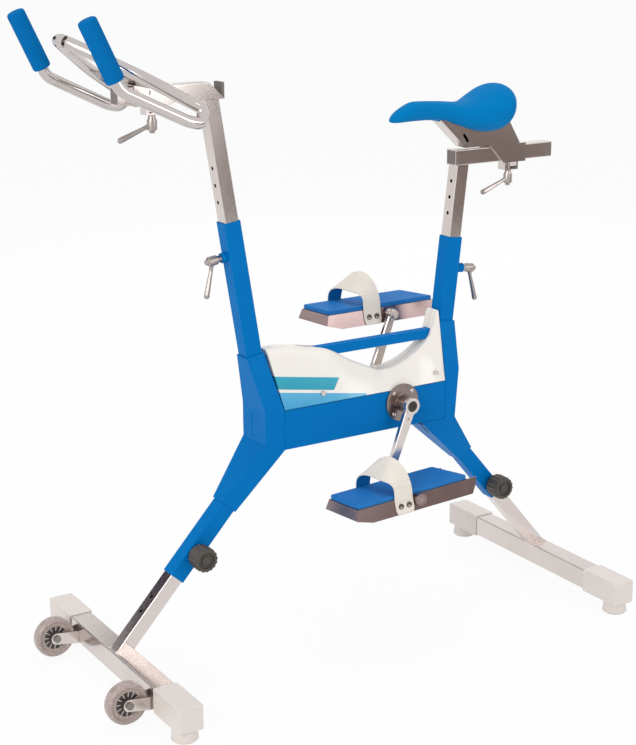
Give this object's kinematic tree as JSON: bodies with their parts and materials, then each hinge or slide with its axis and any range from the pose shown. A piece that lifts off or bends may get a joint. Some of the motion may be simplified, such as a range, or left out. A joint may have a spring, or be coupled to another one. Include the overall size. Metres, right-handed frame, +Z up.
{
  "type": "aqua exercise bike",
  "caption": "Pool exercise bike: square-tube frame on two telescoping feet, with sliding handlebar and saddle posts, a crank and paddle pedals with instep straps.",
  "frame": {"origin": "on the floor under the middle of the whole bike's bounding box", "axes": "-X the way the rider faces, -Y the rider's left, +Z up"},
  "size_m": [1.177, 0.594, 1.2884],
  "materials": {
    "blue_paint": "gloss powder coat",
    "stainless": "polished",
    "dark_steel": "satin",
    "cream_plastic": "moulded, satin",
    "white_cover": "glossy with cyan bands",
    "grip_foam": "matt foam",
    "saddle_skin": "matt skin",
    "pad_foam": "matt foam",
    "strap_rubber": "matt",
    "knob_plastic": "textured",
    "wheel_plastic": "translucent"
  },
  "bodies": {
    "frame": {"beam": "blue_paint", "front_junction": "blue_paint", "rear_junction": "blue_paint", "front_post_sleeve": "blue_paint", "rear_post_sleeve": "blue_paint", "front_leg_sleeve": "blue_paint", "rear_leg_sleeve": "blue_paint", "brace_tube": "blue_paint", "cover_left": "white_cover", "cover_right": "white_cover", "cover_screw_left_front": "stainless", "cover_screw_right_front": "stainless", "cover_screw_left_rear": "stainless", "cover_screw_right_rear": "stainless", "crank_flange_left": "stainless", "crank_flange_right": "stainless", "crank_bearing_left": "dark_steel", "crank_bearing_right": "dark_steel"},
    "crank": {"crank_axle": "stainless", "crank_arm_left": "stainless", "crank_arm_right": "stainless", "crank_cap_left": "knob_plastic", "crank_cap_right": "knob_plastic", "pedal_spindle_left": "stainless", "pedal_spindle_right": "stainless"},
    "left_pedal": {"pedal_tray_left": "stainless", "pedal_pad_left": "pad_foam", "pedal_strap_left": "strap_rubber"},
    "right_pedal": {"pedal_tray_right": "stainless", "pedal_pad_right": "pad_foam", "pedal_strap_right": "strap_rubber"},
    "front_post": {"front_post_tube": "stainless", "handlebar_rail": "stainless"},
    "handlebar": {"handlebar_slider": "stainless", "handlebar_tube": "stainless", "grip_left": "grip_foam", "grip_right": "grip_foam"},
    "rear_post": {"rear_post_tube": "stainless", "saddle_rail": "stainless"},
    "seat": {"saddle_slider": "stainless", "saddle_bracket": "stainless", "saddle": "saddle_skin"},
    "front_post_clamp": {"front_post_lever": "stainless"},
    "rear_post_clamp": {"rear_post_lever": "stainless"},
    "handlebar_clamp": {"handlebar_lever": "stainless"},
    "seat_clamp": {"saddle_lever": "stainless"},
    "front_leg_clamp": {"front_leg_knob": "knob_plastic"},
    "rear_leg_clamp": {"rear_leg_knob": "knob_plastic"},
    "front_foot": {"front_foot_frame": "stainless", "front_foot_cap_left": "cream_plastic", "front_foot_cap_right": "cream_plastic", "wheel_fork_left": "stainless", "wheel_fork_right": "stainless", "wheel_bolt_left": "dark_steel", "wheel_bolt_right": "dark_steel"},
    "left_wheel": {"wheel_left": "wheel_plastic"},
    "right_wheel": {"wheel_right": "wheel_plastic"},
    "rear_foot": {"rear_foot_frame": "stainless", "rear_foot_cap_left": "cream_plastic", "rear_foot_cap_right": "cream_plastic"}
  },
  "joints": [
    {"name": "front_post_height", "type": "slide", "parent": "frame", "child": "front_post", "axis": [-0.1564, 0, 0.9877], "range_m": [-0.09, 0.09]},
    {"name": "handlebar_reach", "type": "slide", "parent": "front_post", "child": "handlebar", "axis": [1, 0, 0], "range_m": [-0.03, 0.06]},
    {"name": "rear_post_height", "type": "slide", "parent": "frame", "child": "rear_post", "axis": [0.1184, 0, 0.993], "range_m": [-0.08, 0.05]},
    {"name": "seat_reach", "type": "slide", "parent": "rear_post", "child": "seat", "axis": [1, 0, 0], "range_m": [-0.04, 0.055]},
    {"name": "front_foot_reach", "type": "slide", "parent": "frame", "child": "front_foot", "axis": [-0.6782, 0, -0.7349], "range_m": [-0.08, 0.06]},
    {"name": "rear_foot_reach", "type": "slide", "parent": "frame", "child": "rear_foot", "axis": [0.6455, 0, -0.7638], "range_m": [-0.08, 0.06]},
    {"name": "crank_turn", "type": "hinge", "parent": "frame", "child": "crank", "pos_m": [0.1545, 0, 0.4815], "axis": [0, 1, 0], "continuous": true},
    {"name": "left_pedal_turn", "type": "hinge", "parent": "crank", "child": "left_pedal", "pos_m": [0.09537, -0.146, 0.32746], "axis": [0, 1, 0], "continuous": true},
    {"name": "right_pedal_turn", "type": "hinge", "parent": "crank", "child": "right_pedal", "pos_m": [0.21363, 0.146, 0.63554], "axis": [0, 1, 0], "continuous": true},
    {"name": "left_wheel_turn", "type": "hinge", "parent": "front_foot", "child": "left_wheel", "pos_m": [-0.547, -0.169, 0.0485], "axis": [0, 1, 0], "continuous": true},
    {"name": "right_wheel_turn", "type": "hinge", "parent": "front_foot", "child": "right_wheel", "pos_m": [-0.547, 0.169, 0.0485], "axis": [0, 1, 0], "continuous": true},
    {"name": "front_post_clamp_turn", "type": "hinge", "parent": "frame", "child": "front_post_clamp", "pos_m": [-0.2071, 0, 0.82432], "axis": [-0.9877, 0, -0.1564], "range_deg": [-90, 90]},
    {"name": "rear_post_clamp_turn", "type": "hinge", "parent": "frame", "child": "rear_post_clamp", "pos_m": [0.29963, 0, 0.73897], "axis": [0.993, 0, -0.1184], "range_deg": [-90, 90]},
    {"name": "handlebar_clamp_turn", "type": "hinge", "parent": "handlebar", "child": "handlebar_clamp", "pos_m": [-0.3705, 0, 1.095], "axis": [0, 0, 1], "range_deg": [-90, 90]},
    {"name": "seat_clamp_turn", "type": "hinge", "parent": "seat", "child": "seat_clamp", "pos_m": [0.4535, 0, 0.925], "axis": [0, 0, 1], "range_deg": [-90, 90]},
    {"name": "front_leg_clamp_turn", "type": "hinge", "parent": "frame", "child": "front_leg_clamp", "pos_m": [-0.31204, -0.04, 0.2375], "axis": [0, 1, 0], "range_deg": [-180, 180]},
    {"name": "rear_leg_clamp_turn", "type": "hinge", "parent": "frame", "child": "rear_leg_clamp", "pos_m": [0.42159, -0.04, 0.2422], "axis": [0, 1, 0], "range_deg": [-180, 180]}
  ]
}
